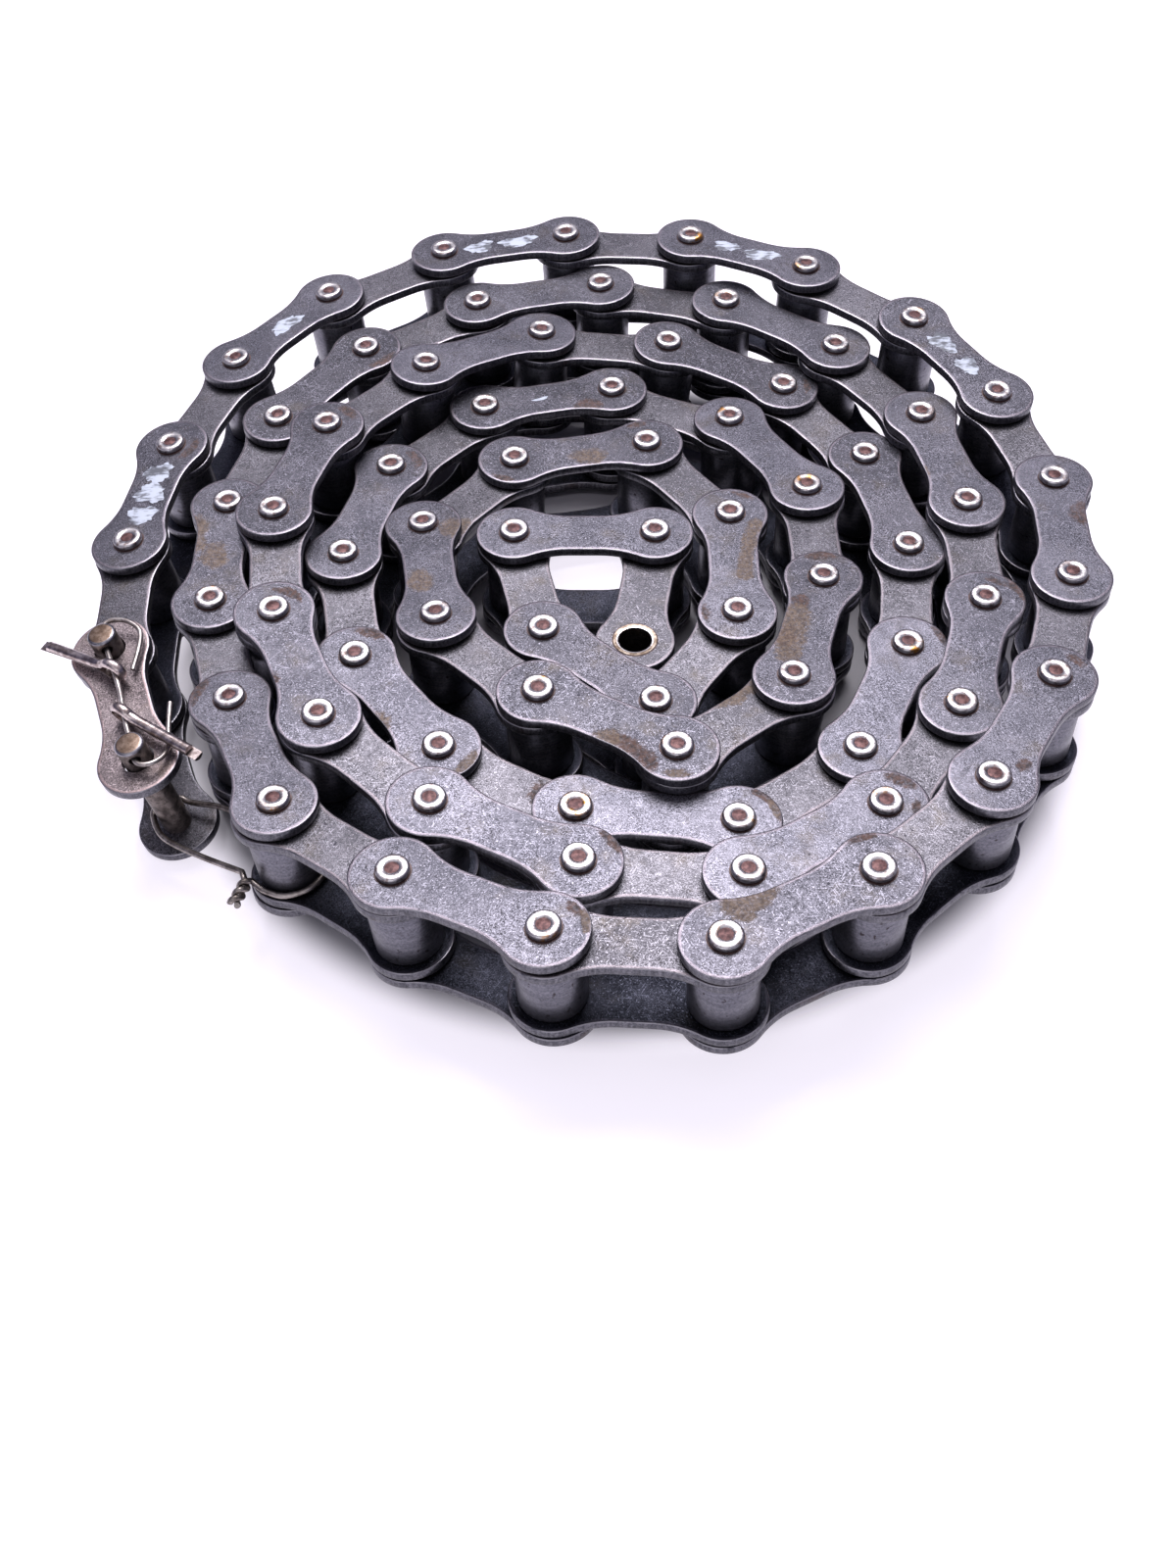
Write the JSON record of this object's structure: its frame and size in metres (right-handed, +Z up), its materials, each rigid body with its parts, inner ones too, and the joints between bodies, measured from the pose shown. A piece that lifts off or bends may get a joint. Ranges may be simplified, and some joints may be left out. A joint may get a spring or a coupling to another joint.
{
  "type": "coiled roller chain",
  "caption": "Length of dark steel roller chain wound flat on its side into a dished spiral coil and tied with wire, with a connecting link and split pins at its outer end.",
  "frame": {"origin": "middle of the coil's box, at the floor it lies on", "axes": "+Z up, along the pins; the coil lies on its side; +Y away from the side that the picture was taken from"},
  "size_m": [0.3013, 0.3108, 0.0548],
  "materials": {
    "dark_steel": "dark blued and oiled, speckled, with some rust at plate ends",
    "connector_steel": "brownish grey, speckled",
    "bright_wire": "satin, pale grey to tan"
  },
  "bodies": {
    "root": {"connecting_pin_plate": "connector_steel", "connecting_cover_plate": "connector_steel", "cotter_pin_upper": "bright_wire", "cotter_pin_lower": "bright_wire", "pin_wire": "bright_wire", "tie_wire": "bright_wire", "roller_link_01": "dark_steel", "pin_link_02": "dark_steel", "roller_link_03": "dark_steel", "pin_link_04": "dark_steel", "roller_link_05": "dark_steel", "pin_link_06": "dark_steel", "roller_link_07": "dark_steel", "pin_link_08": "dark_steel", "roller_link_09": "dark_steel", "pin_link_10": "dark_steel", "roller_link_11": "dark_steel", "pin_link_12": "dark_steel", "roller_link_13": "dark_steel", "pin_link_14": "dark_steel", "roller_link_15": "dark_steel", "pin_link_16": "dark_steel", "roller_link_17": "dark_steel", "pin_link_18": "dark_steel", "roller_link_19": "dark_steel", "pin_link_20": "dark_steel", "roller_link_21": "dark_steel", "pin_link_22": "dark_steel", "roller_link_23": "dark_steel", "pin_link_24": "dark_steel", "roller_link_25": "dark_steel", "pin_link_26": "dark_steel", "roller_link_27": "dark_steel", "pin_link_28": "dark_steel", "roller_link_29": "dark_steel", "pin_link_30": "dark_steel", "roller_link_31": "dark_steel", "pin_link_32": "dark_steel", "roller_link_33": "dark_steel", "pin_link_34": "dark_steel", "link_pair_35_36": "dark_steel", "link_pair_37_38": "dark_steel", "link_pair_39_40": "dark_steel", "link_pair_41_42": "dark_steel", "link_pair_43_44": "dark_steel", "link_pair_45_46": "dark_steel", "link_pair_47_48": "dark_steel", "link_pair_49_50": "dark_steel", "link_pair_51_52": "dark_steel", "link_pair_53_54": "dark_steel", "link_pair_55_56": "dark_steel", "link_pair_57_58": "dark_steel", "link_pair_59_60": "dark_steel", "link_pair_61_62": "dark_steel", "link_pair_63_64": "dark_steel", "link_pair_65_66": "dark_steel", "link_pair_67_68": "dark_steel", "link_pair_69_70": "dark_steel", "link_pair_71_72": "dark_steel", "inner_end_link": "dark_steel"}
  },
  "joints": []
}
